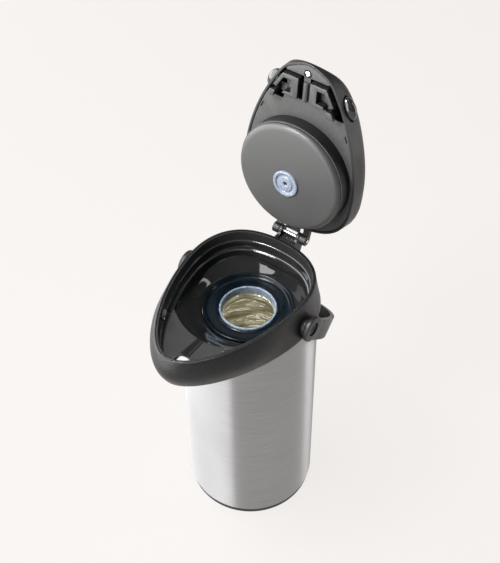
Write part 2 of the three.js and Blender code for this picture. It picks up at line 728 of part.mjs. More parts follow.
const lidAxis = new THREE.Group();
lidAxis.position.set(0, HINGE.y, HINGE.z);
lidAxis.rotation.x = -LID_OPEN * DEG;
const lidFrame = new THREE.Group();
lidFrame.position.set(0, -HINGE.y, -HINGE.z);
lidFrame.add(
  piece('lid_cover', lidCover(), matteBlack),
  piece('lid_panel', lidPanel(), matteBlack),
  piece('panel_screw', panelScrew(), pin),
  piece('pump_housing', pumpHousing(), matteBlack),
  piece('dome_seal_ring', domeSealRing(), rubber),
  piece('air_valve', airValve(), silicone),
  piece('latch_slider_right', latchSlider(), matteBlack),
  piece('latch_slider_left', mirrored(latchSlider()), matteBlack),
  piece('release_button_right', releaseButton(), glossBlack),
  piece('release_button_left', mirrored(releaseButton()), glossBlack),
  piece('latch_spring_right', latchSpring(), spring),
  piece('latch_spring_left', latchSpring().rotateZ(Math.PI).translate(0, -208, 0), spring),
  piece('pump_button', pumpButton(), matteBlack),
  piece('pump_bellows', bellows(), rubber),
  piece('pump_spring', pumpSpring(), spring),
  piece('lock_slider', lockSlider(), matteBlack),
);
lidAxis.add(lidFrame);
airpot.add(lidAxis);

export default airpot;
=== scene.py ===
"""The looks of the pump airpot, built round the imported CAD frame.

Lengths in this script are millimetres and become metres when a mesh is made. Lid pieces are drawn
with the lid closed and handle pieces with the strap level; both are then turned as they are stored.
"""

import math

import bmesh
import bpy
from mathutils import Matrix, Vector


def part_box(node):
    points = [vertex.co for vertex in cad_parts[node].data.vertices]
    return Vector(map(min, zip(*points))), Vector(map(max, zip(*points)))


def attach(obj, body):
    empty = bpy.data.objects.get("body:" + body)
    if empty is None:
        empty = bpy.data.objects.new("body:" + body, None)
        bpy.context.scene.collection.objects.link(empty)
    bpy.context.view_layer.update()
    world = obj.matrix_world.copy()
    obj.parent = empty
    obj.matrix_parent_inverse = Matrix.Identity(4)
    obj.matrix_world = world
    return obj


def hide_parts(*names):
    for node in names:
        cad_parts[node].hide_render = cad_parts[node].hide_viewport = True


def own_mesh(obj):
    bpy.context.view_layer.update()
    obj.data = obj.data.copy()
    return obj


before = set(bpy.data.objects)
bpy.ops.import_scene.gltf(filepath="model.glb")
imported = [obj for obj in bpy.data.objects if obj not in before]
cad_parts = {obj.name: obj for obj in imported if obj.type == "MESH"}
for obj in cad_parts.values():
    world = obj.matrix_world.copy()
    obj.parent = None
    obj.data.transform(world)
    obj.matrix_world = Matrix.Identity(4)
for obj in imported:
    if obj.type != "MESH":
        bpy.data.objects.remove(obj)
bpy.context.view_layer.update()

MM = 0.001                   # one millimetre in metres
GAP = 0.3                    # clearance between neighbouring parts
TURN = 2 * math.pi


def cad(node):
    """Lowest and highest corner of a CAD node, in millimetres."""
    low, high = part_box(node)
    return low / MM, high / MM


# ---- driving dimensions, in millimetres unless a comment says otherwise ----
SHELL_LOW, SHELL_HIGH = cad("outer_shell")
SHELL_R = SHELL_HIGH.x
SHELL_WALL = 0.8
BASE_LOW, BASE_HIGH = cad("base_cup")
BASE_R = BASE_HIGH.x
BASE_WALL = 2.2
BASE_FLOOR = 3.5
FOOT_HIGH = cad("foot_ring")[1]
FOOT_HOLE = 64
CAP_LOW, CAP_HIGH = cad("liner_cap")
CAP_R = CAP_HIGH.x
LINER_HIGH = cad("vacuum_liner")[1]
LINER_R = LINER_HIGH.x
LINER_GAP = 6                # between the outsides of the liner's two glass walls
GLASS = 1.6
NECK_IN = 29.3
NECK_OUT = 33.2
NECK_TOP = LINER_HIGH.z

COLLAR_LOW = 320
COLLAR_MID = 340
RIM_Z = 360
WALL = 2.4                   # moulded plastic wall
COLLAR_LIP = 1.8             # collar wall at the rim
RIM_INNER = 4.2              # from the rim's outside to the tray's inner wall
RIM = {
    "tip": 140.6, "tip_pull": 36.6, "side": 73, "side_pull": 56,
    "back_pull": 17.6, "corner_pull": 68.4, "back": 67.2}
SKIRT = {
    "tip": 139.6, "tip_pull": 31, "side": 80.6, "side_pull": 65,
    "back_pull": 44.5, "corner_pull": 44.5, "back": 80.6}
COLLAR_BULGE = 6.5           # how far the collar's wall swells out round the nose
TRAY_FLOOR = 335
TRAY_BEAD = 348              # height of the bead round the tray's wall
WELL_BOTTOM = 308.6
WELL_R = 51.3
SPOUT_Y = -120
SPOUT_R = 10
SPOUT_SLOT = 104             # how near the middle the slot under the spout hole reaches

HINGE_Y = 82.5
HINGE_Z = 358
LID_OPEN = 95.9              # degrees
PIN_R = 2
KNUCKLE_R = 6
HINGE_BLOCK = 354.4          # top of the collar's block between the hinge ears
EAR = (9.2, 13.2)            # near and far side of an ear and of an arm, from the middle
ARM = (13.8, 21.8)

LID_INSET = 2.8              # how far the lid stands inside the rim's outline
LID_BOTTOM = 360.5
LID_TIP = 136                # where the lid's wall and crown start to rise
LID_WALL = 15.2
CROWN_R = 22                 # rounding between the lid's wall and its top
LID_TAIL = 7                 # how much wider the lid's outline gets towards the hinge
LID_BULGE = 2                # and how far its wall swells beyond that outline there
LID_BLUNT = 3.6              # how far the lid's tip is drawn back
LID_CHEEK = 1.5              # and how much fuller it is on either side of the tip
PANEL_BOTTOM = 361.2
PANEL_TOP = 363.6
SCREW_Y = -122.5
LATCH_LOW = 355.4
LATCH_TOP = 366
PUMP_Y = -4.4
DOME_R = 63.6
DOME_FACE = 337.5
VALVE_R = 15.4
BUTTON_R = 40
BUTTON_TOP = 402.5
LOCK_SEAT = 398.6

PIVOT_Z = 330
PIVOT_HOLE = 4.5
HANDLE_REACH = 124
HANDLE_DROOP = 45            # degrees
HANDLE_WALL = 5
HANDLE_WIDTH = 24
HANDLE_EYE = 15
HANDLE_INNER = 82
HANDLE_SQUARE = 2.35         # 2 bends the strap as an ellipse, more makes it squarer

# Middle, half-lengths and turn in degrees of the right release button's ellipsoid.
SIDE_BUTTON = {"x": 44.6, "y": -95, "z": 372.4, "out": 8.4, "along": 13, "up": 6.4, "turn": -27.5}

HINGE = Vector((0, HINGE_Y, HINGE_Z))
PIVOT = Vector((0, 0, PIVOT_Z))


def about(point, degrees):
    """Turn about the X direction through a point, in millimetres."""
    turn = Matrix.Rotation(math.radians(degrees), 4, "X")
    return Matrix.Translation(point) @ turn @ Matrix.Translation(-point)


# How the pieces drawn for a body are turned to where the frame has them.
STORED = {
    "body": Matrix.Identity(4),
    "lid": about(HINGE, -LID_OPEN),
    "handle": about(PIVOT, -HANDLE_DROOP),
}


# ---- materials ----
class Nodes:
    """A material's node tree, with one Principled shader, built in a few calls."""

    def __init__(self, name):
        self.material = bpy.data.materials.new(name)
        self.material.use_nodes = True
        self.tree = self.material.node_tree
        self.shader = self.tree.nodes["Principled BSDF"]
        self.place = self.add("ShaderNodeTexCoord").outputs["Object"]

    def add(self, kind, **values):
        node = self.tree.nodes.new(kind)
        for key, value in values.items():
            if hasattr(node, key):
                setattr(node, key, value)
            else:
                node.inputs[key].default_value = value
        return node

    def link(self, source, node, key):
        self.tree.links.new(source, node.inputs[key])

    def set(self, **values):
        for key, value in values.items():
            self.shader.inputs[key.replace("_", " ")].default_value = value

    def stretched(self, x, y, z):
        node = self.add("ShaderNodeMapping")
        node.inputs["Scale"].default_value = (x, y, z)
        self.link(self.place, node, "Vector")
        return node.outputs["Vector"]

    def noise(self, scale, detail=3, roughness=0.5, distortion=0.0, vector=None):
        node = self.add("ShaderNodeTexNoise")
        node.inputs["Scale"].default_value = scale
        node.inputs["Detail"].default_value = detail
        node.inputs["Roughness"].default_value = roughness
        node.inputs["Distortion"].default_value = distortion
        self.link(vector or self.place, node, "Vector")
        return node.outputs["Fac"]

    def between(self, value, low, high, start=0.35, end=0.65):
        node = self.add("ShaderNodeMapRange")
        node.inputs["From Min"].default_value = start
        node.inputs["From Max"].default_value = end
        node.inputs["To Min"].default_value = low
        node.inputs["To Max"].default_value = high
        self.link(value, node, "Value")
        return node.outputs["Result"]

    def ramp(self, value, *stops):
        node = self.add("ShaderNodeValToRGB")
        elements = node.color_ramp.elements
        while len(elements) < len(stops):
            elements.new(0.5)
        for element, (position, colour) in zip(elements, stops):
            element.position = position
            element.color = (*colour, 1)
        self.link(value, node, "Fac")
        return node.outputs["Color"]

    def bump(self, height, distance, strength=1.0, normal=None):
        node = self.add("ShaderNodeBump")
        node.inputs["Distance"].default_value = distance
        node.inputs["Strength"].default_value = strength
        self.link(height, node, "Height")
        if normal is not None:
            self.link(normal, node, "Normal")
        return node.outputs["Normal"]

    def feed(self, source, key):
        self.link(source, self.shader, key)


def brushed_steel():
    """Steel brushed round the tube, so that reflections are drawn out along it."""
    m = Nodes("brushed_steel")
    m.set(Metallic=1.0, Anisotropic=1.0, Anisotropic_Rotation=0.25)
    tangent = m.add("ShaderNodeTangent", direction_type="RADIAL", axis="Z")
    m.feed(tangent.outputs["Tangent"], "Tangent")
    hair = m.noise(1.0, 4, 0.7, vector=m.stretched(26, 26, 2400))
    cloud = m.noise(9, 3, 0.5)
    m.feed(m.ramp(hair, (0.3, (0.33, 0.33, 0.335)), (0.7, (0.47, 0.47, 0.475))), "Base Color")
    m.feed(m.between(cloud, 0.33, 0.36), "Roughness")
    m.feed(m.bump(hair, 0.00001, 0.3), "Normal")
    return m.material


def grained_plastic(name, dark, light, rough, grain, shine=0.5):
    """Moulded plastic with a fine spark-eroded grain."""
    m = Nodes(name)
    m.set(IOR=1.5, Specular_IOR_Level=shine)
    cells = m.noise(grain, 2, 0.6)
    cloud = m.noise(38, 4, 0.6)
    m.feed(m.ramp(cells, (0.36, dark), (0.64, light)), "Base Color")
    m.feed(m.between(cloud, rough - 0.05, rough + 0.05), "Roughness")
    m.feed(m.bump(cells, 0.00035, 0.7), "Normal")
    return m.material


def gloss_plastic(name, colour, haze, shine=0.5):
    """Polished plastic with faint handling haze and very slight moulding waves."""
    m = Nodes(name)
    m.set(IOR=1.5, Specular_IOR_Level=shine, Coat_Weight=shine - 0.1, Coat_Roughness=0.04)
    cloud = m.noise(26, 5, 0.65)
    wave = m.noise(9, 2, 0.4)
    pale = tuple(c * 1.7 + 0.002 for c in colour)
    m.feed(m.ramp(cloud, (0.35, colour), (0.8, pale)), "Base Color")
    m.feed(m.between(cloud, haze * 0.6, haze * 1.6), "Roughness")
    m.feed(m.bump(wave, 0.0004, 0.25), "Normal")
    return m.material


def silvered_glass():
    """Mirror coating behind uneven glass. A little glow stands for the light it passes round inside."""
    m = Nodes("silvered_glass")
    m.set(Metallic=1.0)
    swirl = m.noise(1.0, 5, 0.62, 1.0, m.stretched(22, 22, 150))
    drip = m.noise(1.0, 3, 0.6, 0.6, m.stretched(60, 60, 14))
    m.feed(m.ramp(swirl, (0.3, (0.22, 0.20, 0.13)), (0.7, (0.52, 0.50, 0.40))), "Base Color")
    glow = m.ramp(
        swirl, (0.38, (0.03, 0.026, 0.012)), (0.48, (0.11, 0.104, 0.065)), (0.56, (0.18, 0.17, 0.115)),
        (0.59, (0.9, 0.9, 0.8)), (0.61, (0.13, 0.12, 0.07)))
    m.feed(glow, "Emission Color")
    m.set(Emission_Strength=0.85)
    m.feed(m.between(drip, 0.08, 0.26), "Roughness")
    m.feed(m.bump(swirl, 0.004, 0.7, m.bump(drip, 0.002, 0.4)), "Normal")
    return m.material


def silicone(name, colour):
    """Milky silicone that lets some light through."""
    m = Nodes(name)
    m.set(Subsurface_Weight=0.5, Subsurface_Scale=0.004, Transmission_Weight=0.2, IOR=1.41)
    m.shader.inputs["Subsurface Radius"].default_value = (0.6, 0.8, 1.0)
    cloud = m.noise(120, 3, 0.5)
    pale = tuple(min(1, c * 1.08) for c in colour)
    m.feed(m.ramp(cloud, (0.3, colour), (0.7, pale)), "Base Color")
    m.feed(m.between(cloud, 0.22, 0.34), "Roughness")
    m.feed(m.bump(cloud, 0.0001, 0.4), "Normal")
    return m.material


def dull_rubber():
    """Matt rubber with a fine speck."""
    m = Nodes("rubber")
    speck = m.noise(1600, 2, 0.6)
    cloud = m.noise(60, 3)
    m.feed(m.ramp(cloud, (0.3, (0.016, 0.016, 0.016)), (0.7, (0.032, 0.032, 0.031))), "Base Color")
    m.feed(m.between(speck, 0.68, 0.86), "Roughness")
    m.feed(m.bump(speck, 0.00008, 0.5), "Normal")
    return m.material


def bright_steel():
    """Polished steel with fine scratches."""
    m = Nodes("bright_steel")
    m.set(Metallic=1.0)
    scratch = m.noise(1.0, 4, 0.7, vector=m.stretched(900, 900, 120))
    m.feed(m.ramp(scratch, (0.3, (0.72, 0.72, 0.74)), (0.7, (0.86, 0.86, 0.87))), "Base Color")
    m.feed(m.between(scratch, 0.12, 0.24), "Roughness")
    m.feed(m.bump(scratch, 0.00002, 0.4), "Normal")
    return m.material


STEEL = brushed_steel()
CASE = grained_plastic("case_plastic", (0.005, 0.005, 0.0052), (0.014, 0.014, 0.0142), 0.42, 700, 0.32)
# INNER and SATIN are lighter copies of the case plastic; their extra lightness is painted light.
INNER = grained_plastic("inner_plastic_painted_lit", (0.024, 0.024, 0.024), (0.038, 0.038, 0.0375), 0.42, 700, 0.32)
SATIN = grained_plastic("dome_plastic_painted_lit", (0.028, 0.028, 0.028), (0.034, 0.034, 0.0335), 0.38, 1100, 0.4)
# Painted shade: a darker copy of the grained plastic, for faces in recesses and on side walls.
PAINTED_SHADE = grained_plastic("painted_shade_plastic", (0.003, 0.003, 0.003), (0.006, 0.006, 0.006), 0.5, 2400, 0.25)
GLOSS = gloss_plastic("tray_gloss", (0.008, 0.008, 0.008), 0.06)
NAVY = gloss_plastic("neck_gloss", (0.001, 0.003, 0.005), 0.2, 0.14)
LINER = silvered_glass()
CLEAR = silicone("gasket_silicone", (0.19, 0.23, 0.29))
VALVE = silicone("valve_silicone", (0.15, 0.175, 0.215))
RUBBER = dull_rubber()
BRIGHT = bright_steel()


# ---- outlines and profiles ----
def cubic(p0, p1, p2, p3, steps):
    """Points along a Bezier curve, both ends included."""
    points = []
    for i in range(steps + 1):
        t = i / steps
        s = 1 - t
        weights = (s * s * s, 3 * s * s * t, 3 * s * t * t, t * t * t)
        points.append(tuple(sum(w * p[k] for w, p in zip(weights, (p0, p1, p2, p3))) for k in (0, 1)))
    return points


def teardrop(o, steps=36):
    """A plan outline of four Bezier quarters, counter-clockwise from the tip."""
    tip, side, back_y = o["tip"], o["side"], o["back"]
    front = cubic((0, -tip), (o["tip_pull"], -tip), (side, -o["side_pull"]), (side, 0), steps)
    back = cubic((side, 0), (side, o["back_pull"]), (o["corner_pull"], back_y), (0, back_y), steps)
    right = front + back[1:]
    return right + [(-x, y) for x, y in reversed(right[1:-1])]


def inset(points, distance):
    """Moves a counter-clockwise outline inwards, each point square to its neighbours' line."""
    moved = []
    for i, (x, y) in enumerate(points):
        ax, ay = points[i - 1]
        bx, by = points[(i + 1) % len(points)]
        length = math.hypot(bx - ax, by - ay)
        moved.append((x - (by - ay) / length * distance, y + (bx - ax) / length * distance))
    return moved


def outward(points, distance):
    """Moves each point away from a centre forward of the neck, by a distance that depends on its y."""
    moved = []
    for x, y in points:
        length = math.hypot(x, y + 20)
        share = 1 + distance(y) / length
        moved.append((x * share, -20 + (y + 20) * share))
    return moved


def smooth(value, start, end):
    """0 before start, 1 after end, and an S-shaped rise between."""
    t = min(1, max(0, (value - start) / (end - start)))
    return t * t * (3 - 2 * t)


def mixed(a, b, share):
    """The outline that lies a share of the way from outline a to outline b."""
    return [(p[0] + (q[0] - p[0]) * share, p[1] + (q[1] - p[1]) * share) for p, q in zip(a, b)]


def fillet(points, steps=5):
    """A profile of (r, z) or (r, z, radius) points, with the corners that have a radius rounded."""
    made = []
    for i, point in enumerate(points):
        radius = point[2] if len(point) > 2 else 0
        here = Vector(point[:2])
        if not radius:
            made.append(tuple(here))
            continue
        before = Vector(points[i - 1][:2]) - here
        after = Vector(points[(i + 1) % len(points)][:2]) - here
        reach = min(radius, before.length * 0.49, after.length * 0.49)
        start = here + before.normalized() * reach
        end = here + after.normalized() * reach
        for k in range(steps + 1):
            t = k / steps
            made.append(tuple(start * (1 - t) ** 2 + here * 2 * t * (1 - t) + end * t * t))
    return made


# ---- meshes ----
def piece(name, mesh, body, material, nodes=(), sharp=35, stored="body", shade_test=None):
    """Turns a mesh in millimetres into a piece that rides on a body.

    Faces that the given test picks take a darker copy of the plastic: painted shade for recesses and side
    walls.
    """
    shaded_flags = [shade_test(face.center, face.normal) for face in mesh.polygons] if shade_test else []
    mesh.transform(Matrix.Scale(MM, 4) @ STORED[stored])
    mesh.shade_smooth()
    mesh.set_sharp_from_angle(angle=math.radians(sharp))
    mesh.materials.clear()
    mesh.materials.append(material)
    if shade_test:
        mesh.materials.append(PAINTED_SHADE)
        mesh.polygons.foreach_set("material_index", [int(flag) for flag in shaded_flags])
    obj = bpy.data.objects.new(name, mesh)
    bpy.context.scene.collection.objects.link(obj)
    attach(obj, body)
    if nodes:
        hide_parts(*nodes)
    return obj


def soften(obj, width, segments, angle):
    """Rounds a piece's edges that are sharper than an angle in degrees."""
    bevel = obj.modifiers.new("edges", "BEVEL")
    bevel.width = width * MM
    bevel.segments = segments
    bevel.limit_method = "ANGLE"
    bevel.angle_limit = math.radians(angle)


def from_bmesh(bm):
    mesh = bpy.data.meshes.new("mesh")
    bmesh.ops.recalc_face_normals(bm, faces=bm.faces)
    bm.to_mesh(mesh)
    bm.free()
    return mesh


def sealed(mesh):
    """Closes the hairline cracks that booleans leave."""
    bm = bmesh.new()
    bm.from_mesh(mesh)
    bmesh.ops.remove_doubles(bm, verts=bm.verts, dist=0.01)
    bmesh.ops.dissolve_degenerate(bm, edges=bm.edges, dist=0.005)
    bmesh.ops.holes_fill(bm, edges=[edge for edge in bm.edges if edge.is_boundary], sides=0)
    return from_bmesh(bm)


def turned(profile, segments=144, y=0):
    """A closed profile of (r, z) points turned about the vertical axis through (0, y)."""
    bm = bmesh.new()
    rings = []
    for r, z in profile:
        if r < 1e-6:
            rings.append([bm.verts.new((0, y, z))])
            continue
        rings.append([
            bm.verts.new((r * math.sin(TURN * i / segments), y - r * math.cos(TURN * i / segments), z))
            for i in range(segments)])
    for a, b in zip(rings, rings[1:] + rings[:1]):
        for i in range(segments):
            j = (i + 1) % segments
            corners = [a[i % len(a)], a[j % len(a)], b[j % len(b)], b[i % len(b)]]
            corners = list(dict.fromkeys(corners))
            if len(corners) > 2:
                bm.faces.new(corners)
    return from_bmesh(bm)


def loft(rings, closed=False):
    """A skin of triangles through rings of (x, y, z) points, capped at both ends unless closed."""
    bm = bmesh.new()
    rows = [[bm.verts.new(p) for p in ring] for ring in rings]
    pairs = list(zip(rows, rows[1:]))
    if closed:
        pairs.append((rows[-1], rows[0]))
    for a, b in pairs:
        for i in range(len(a)):
            j = (i + 1) % len(a)
            bm.faces.new((a[i], a[j], b[j], b[i]))
    if not closed:
        for row in (rows[0], rows[-1]):
            middle = bm.verts.new(sum((v.co for v in row), Vector()) / len(row))
            for i in range(len(row)):
                bm.faces.new((row[i - 1], row[i], middle))
    bmesh.ops.triangulate(bm, faces=bm.faces)
    return from_bmesh(bm)


def at(points, z):
    """An outline's points at a height, which may be a function of y."""
    return [(x, y, z(y) if callable(z) else z) for x, y in points]


def prism(points, z0, z1, edge=0.0):
    """A plate with a plan outline, all its edges rounded by edge."""
    bm = bmesh.new()
    face = bm.faces.new([bm.verts.new((x, y, z0)) for x, y in points])
    grown = bmesh.ops.extrude_face_region(bm, geom=[face])
    top = [v for v in grown["geom"] if isinstance(v, bmesh.types.BMVert)]
    bmesh.ops.translate(bm, verts=top, vec=(0, 0, z1 - z0))
    bmesh.ops.recalc_face_normals(bm, faces=bm.faces)
    if edge:
        bmesh.ops.bevel(
            bm, geom=list(bm.edges), offset=edge, segments=3, affect="EDGES", profile=0.5, clamp_overlap=True)
    return from_bmesh(bm)


def block(x0, x1, y0, y1, z0, z1, edge=0.0):
    return prism([(x0, y0), (x1, y0), (x1, y1), (x0, y1)], z0, z1, edge)


def disc(radius, x, y, z0, z1, segments=96):
    angles = [TURN * i / segments for i in range(segments)]
    return prism([(x + radius * math.cos(a), y + radius * math.sin(a)) for a in angles], z0, z1)


def across(mesh, x, y, z):
    """Lays a mesh that was turned about Z along +X instead, and moves it."""
    mesh.transform(Matrix.Translation((x, y, z)) @ Matrix.Rotation(math.pi / 2, 4, "Y"))
    return mesh


def rod(radius, x0, x1, y, z, segments=48, edge=0.0):
    """A cylinder along X, its rims rounded."""
    length = x1 - x0
    profile = fillet([(0, 0), (radius, 0, edge), (radius, length, edge), (0, length)], 4)
    return across(turned(profile, segments), x0, y, z)


def side_plate(points, x0, x1, edge=0.0):
    """A plate whose side view is given as (y, z) points, from x0 to x1."""
    mesh = prism(points, x0, x1, edge)
    mesh.transform(Matrix(((0, 0, 1, 0), (1, 0, 0, 0), (0, 1, 0, 0), (0, 0, 0, 1))))
    return mesh


def mirrored(mesh):
    copy = mesh.copy()
    copy.transform(Matrix.Scale(-1, 4, (1, 0, 0)))
    copy.flip_normals()
    return copy


def boolean(base, tools, operation):
    """base with each tool mesh cut away from it or joined to it, as a new mesh."""
    made = bpy.data.objects.new("made", base)
    bpy.context.scene.collection.objects.link(made)
    helpers = []
    for tool in tools:
        helper = bpy.data.objects.new("helper", tool)
        bpy.context.scene.collection.objects.link(helper)
        helpers.append(helper)
        modifier = made.modifiers.new("solid", "BOOLEAN")
        modifier.operation = operation
        modifier.solver = "EXACT"
        modifier.object = helper
    evaluated = made.evaluated_get(bpy.context.evaluated_depsgraph_get())
    result = bpy.data.meshes.new_from_object(evaluated)
    for obj in [made, *helpers]:
        bpy.data.objects.remove(obj)
    return result


def cut(base, *tools):
    return boolean(base, tools, "DIFFERENCE")


def join(base, *tools):
    return boolean(base, tools, "UNION")


rim = teardrop(RIM)
skirt = teardrop(SKIRT)


# ---- body ----
def make_shell():
    inner = SHELL_R - SHELL_WALL
    low, top = SHELL_LOW.z, SHELL_HIGH.z
    profile = [(inner, low), (SHELL_R - 0.4, low, 0.3), (SHELL_R, low + 1.6, 1), (SHELL_R, top), (inner, top)]
    mesh = turned(fillet(profile), 256)
    piece("shell", mesh, "body", STEEL, ["outer_shell"], 50)


def make_base():
    low, top = BASE_LOW.z, BASE_HIGH.z
    inner = BASE_R - BASE_WALL
    above = BASE_FLOOR + WALL
    cap = CAP_R + GAP
    cap_low, cap_top = CAP_LOW.z, CAP_HIGH.z
    mesh = turned(fillet([
        (cap, BASE_FLOOR), (inner, BASE_FLOOR), (inner, low), (BASE_R, low, 0.9), (BASE_R, top), (inner, top),
        (inner, above), (cap + 2.1, above), (cap + 2.1, cap_top), (cap, cap_top)]), 192)
    piece("base_ring", mesh, "body", CASE, ["base_cup"])
    outer, foot_top = FOOT_HIGH.x, FOOT_HIGH.z
    pad = [(FOOT_HOLE, 0, 0.6), (outer, 0, 0.8), (outer, foot_top), (FOOT_HOLE, foot_top)]
    mesh = turned(fillet(pad), 192)
    piece("foot_pad", mesh, "body", RUBBER, ["foot_ring"])
    plug = turned(fillet([
        (0, cap_low), (24, cap_low), (25, cap_low + 0.6), (CAP_R, cap_low + 0.6, 0.5), (CAP_R, cap_top),
        (CAP_R - WALL, cap_top), (CAP_R - WALL, 5.4), (0, 5.4)]), 96)
    plug = cut(plug, block(-14, 14, -1.5, 1.5, 2, 4, 0.3))
    piece("bottom_cap", plug, "body", CASE, ["liner_cap"])


def make_liner():
    """The flask's two walls in one profile: the inside, over the mouth, down the outside, and the
    space between them, which stays open at the tip underneath."""
    inner = LINER_R - LINER_GAP
    top = NECK_TOP
    profile = fillet([
        (0, 36), (38, 40, 12), (57.5, 50, 10), (inner - GLASS, 66, 10), (inner - GLASS, 255, 14),
        (50, 272, 8), (NECK_IN, 286, 6), (NECK_IN, top, 1.2),
        (NECK_OUT, top, 1.2), (NECK_OUT, 288.5, 4), (52, 277, 8), (LINER_R, 259.6, 10), (LINER_R, 62, 10),
        (64, 45, 8), (42, 31.4, 8), (12, 25.8, 3), (3.4, 24.6), (3, 19), (1.7, 19), (2, 26.6),
        (11.5, 27.4), (41, 33), (62.6, 46), (LINER_R - GLASS, 62.5), (LINER_R - GLASS, 258.8), (51.3, 275.5),
        (NECK_OUT - 1.3, 287.7), (NECK_OUT - 1.3, top - GLASS), (NECK_IN + GLASS, top - GLASS),
        (NECK_IN + GLASS, 286.8), (51, 273.6), (inner, 255.6), (inner, 65.5), (58.6, 48.8), (38.5, 38.4),
        (0, 34.4)])
    piece("glass_liner", turned(profile, 160), "body", LINER, ["vacuum_liner"], 60)
    gasket = turned(fillet([
        (29.8, 299.1), (32.6, 299.1), (32.6, 308.4, 0.8), (31.8, 309.5, 0.8), (30.3, 309.5, 0.8),
        (29.8, 308.4, 0.6)], 4))
    piece("mouth_seal", gasket, "body", CLEAR, ["mouth_gasket"], 60)
    ring = turned(fillet([
        (32.9, 301), (50.8, 301), (50.8, 310.6, 0.5), (49.8, 311.3, 0.5), (48.6, 310.4, 0.6),
        (46.4, 308.2, 2), (42, 307.2, 4), (36, 307.1, 3), (33.7, 308.1, 0.6), (32.9, 307.6, 0.3)], 4), 192)
    piece("neck_dish", ring, "body", NAVY, ["neck_ring"], 50)


def collar_outline(z):
    """The collar's outside at a height: from the round skirt to the rim, swollen round the nose."""
    share = (z - COLLAR_LOW) / (RIM_Z - COLLAR_LOW)
    swell = COLLAR_BULGE * math.sin(math.pi * share)
    return outward(mixed(skirt, rim, share), lambda y: swell * (1 - smooth(y, -90, -20)))


def hinge_ear(x0, x1):
    knuckle = rod(KNUCKLE_R, x0, x1, HINGE_Y, HINGE_Z, edge=0.5)
    back = HINGE_Y + 5.4
    web = side_plate([
        (62, 330), (80, 330), (back, 346), (back, HINGE_Z - 2), (HINGE_Y, HINGE_Z + KNUCKLE_R),
        (HINGE_Y - 8, HINGE_Z - 1), (62, HINGE_Z - 1)], x0 + 0.2, x1 - 0.2)
    return join(knuckle, web)


def make_collar():
    edge = 0.9
    rows = [
        at(inset(collar_outline(COLLAR_LOW), edge), COLLAR_LOW),
        at(inset(collar_outline(COLLAR_LOW + 0.3), 0.25), COLLAR_LOW + 0.3),
        at(collar_outline(COLLAR_LOW + edge), COLLAR_LOW + edge)]
    rows += [at(collar_outline(z), z) for z in range(324, 360, 4)]
    rows += [
        at(collar_outline(RIM_Z - edge), RIM_Z - edge),
        at(inset(collar_outline(RIM_Z - 0.3), 0.25), RIM_Z - 0.3),
        at(inset(collar_outline(RIM_Z), edge), RIM_Z)]
    boss = rod(12, 72, HANDLE_INNER - 0.6, 0, PIVOT_Z, 72, 1.2)
    solid = join(loft(rows), boss, mirrored(boss))
    low = COLLAR_LOW + WALL
    slot = SPOUT_R + WALL + GAP
    hollow = loft([
        at(inset(collar_outline(low), WALL), low), at(inset(collar_outline(COLLAR_MID), WALL), COLLAR_MID),
        at(inset(collar_outline(RIM_Z), COLLAR_LIP), RIM_Z + 1)])
    solid = cut(
        solid, hollow, disc(SHELL_R + GAP, 0, 0, COLLAR_LOW - 4, SHELL_HIGH.z + GAP, 256),
        disc(slot, 0, SPOUT_Y, COLLAR_LOW - 1, low + 1),
        disc(slot, 0, -SPOUT_SLOT, COLLAR_LOW - 1.1, low + 1.1),
        block(-slot, slot, SPOUT_Y, -SPOUT_SLOT, COLLAR_LOW - 1.2, low + 1.2),
        rod(PIVOT_HOLE, -90, 90, 0, PIVOT_Z))
    piece("pouring_collar", solid, "body", CASE, ["collar"], 30)
    bridge = block(-EAR[0] - 0.5, EAR[0] + 0.5, 66, HINGE_Y + 5.4, 332, HINGE_BLOCK, 0.8)
    piece("collar_hinge_block", bridge, "body", CASE, (), 30)
    ear = cut(hinge_ear(*EAR), loft(rows), rod(PIN_R + GAP, 0, 30, HINGE_Y, HINGE_Z))
    piece("collar_ear_right", ear.copy(), "body", CASE, (), 30)
    piece("collar_ear_left", mirrored(ear), "body", CASE, (), 30)


def funnel_ring(outline, radius, centre):
    """Points on a circle of the funnel, one for each point of an outline and held inside it."""
    points = []
    for ex, ey in outline:
        angle = math.atan2(ex, -(ey + 2))
        x, y = radius * math.sin(angle), centre - radius * math.cos(angle)
        points.append((ex, ey) if math.hypot(x, y + 2) > math.hypot(ex, ey + 2) else (x, y))
    return points


def funnel_circles(count):
    """Radius, centre and height down the funnel, evenly spread over its corner points."""
    corners = [
        (77.4, -7.8, 336), (75, -7.4, 332), (68.5, -6, 326.4), (60.5, -3, 318), (53.8, -0.6, 311.8),
        (WELL_R, 0, WELL_BOTTOM)]
    circles = []
    for i in range(count + 1):
        place = i / count * (len(corners) - 1)
        k = min(int(place), len(corners) - 2)
        circles.append(tuple(p + (q - p) * (place - k) for p, q in zip(corners[k], corners[k + 1])))
    return circles


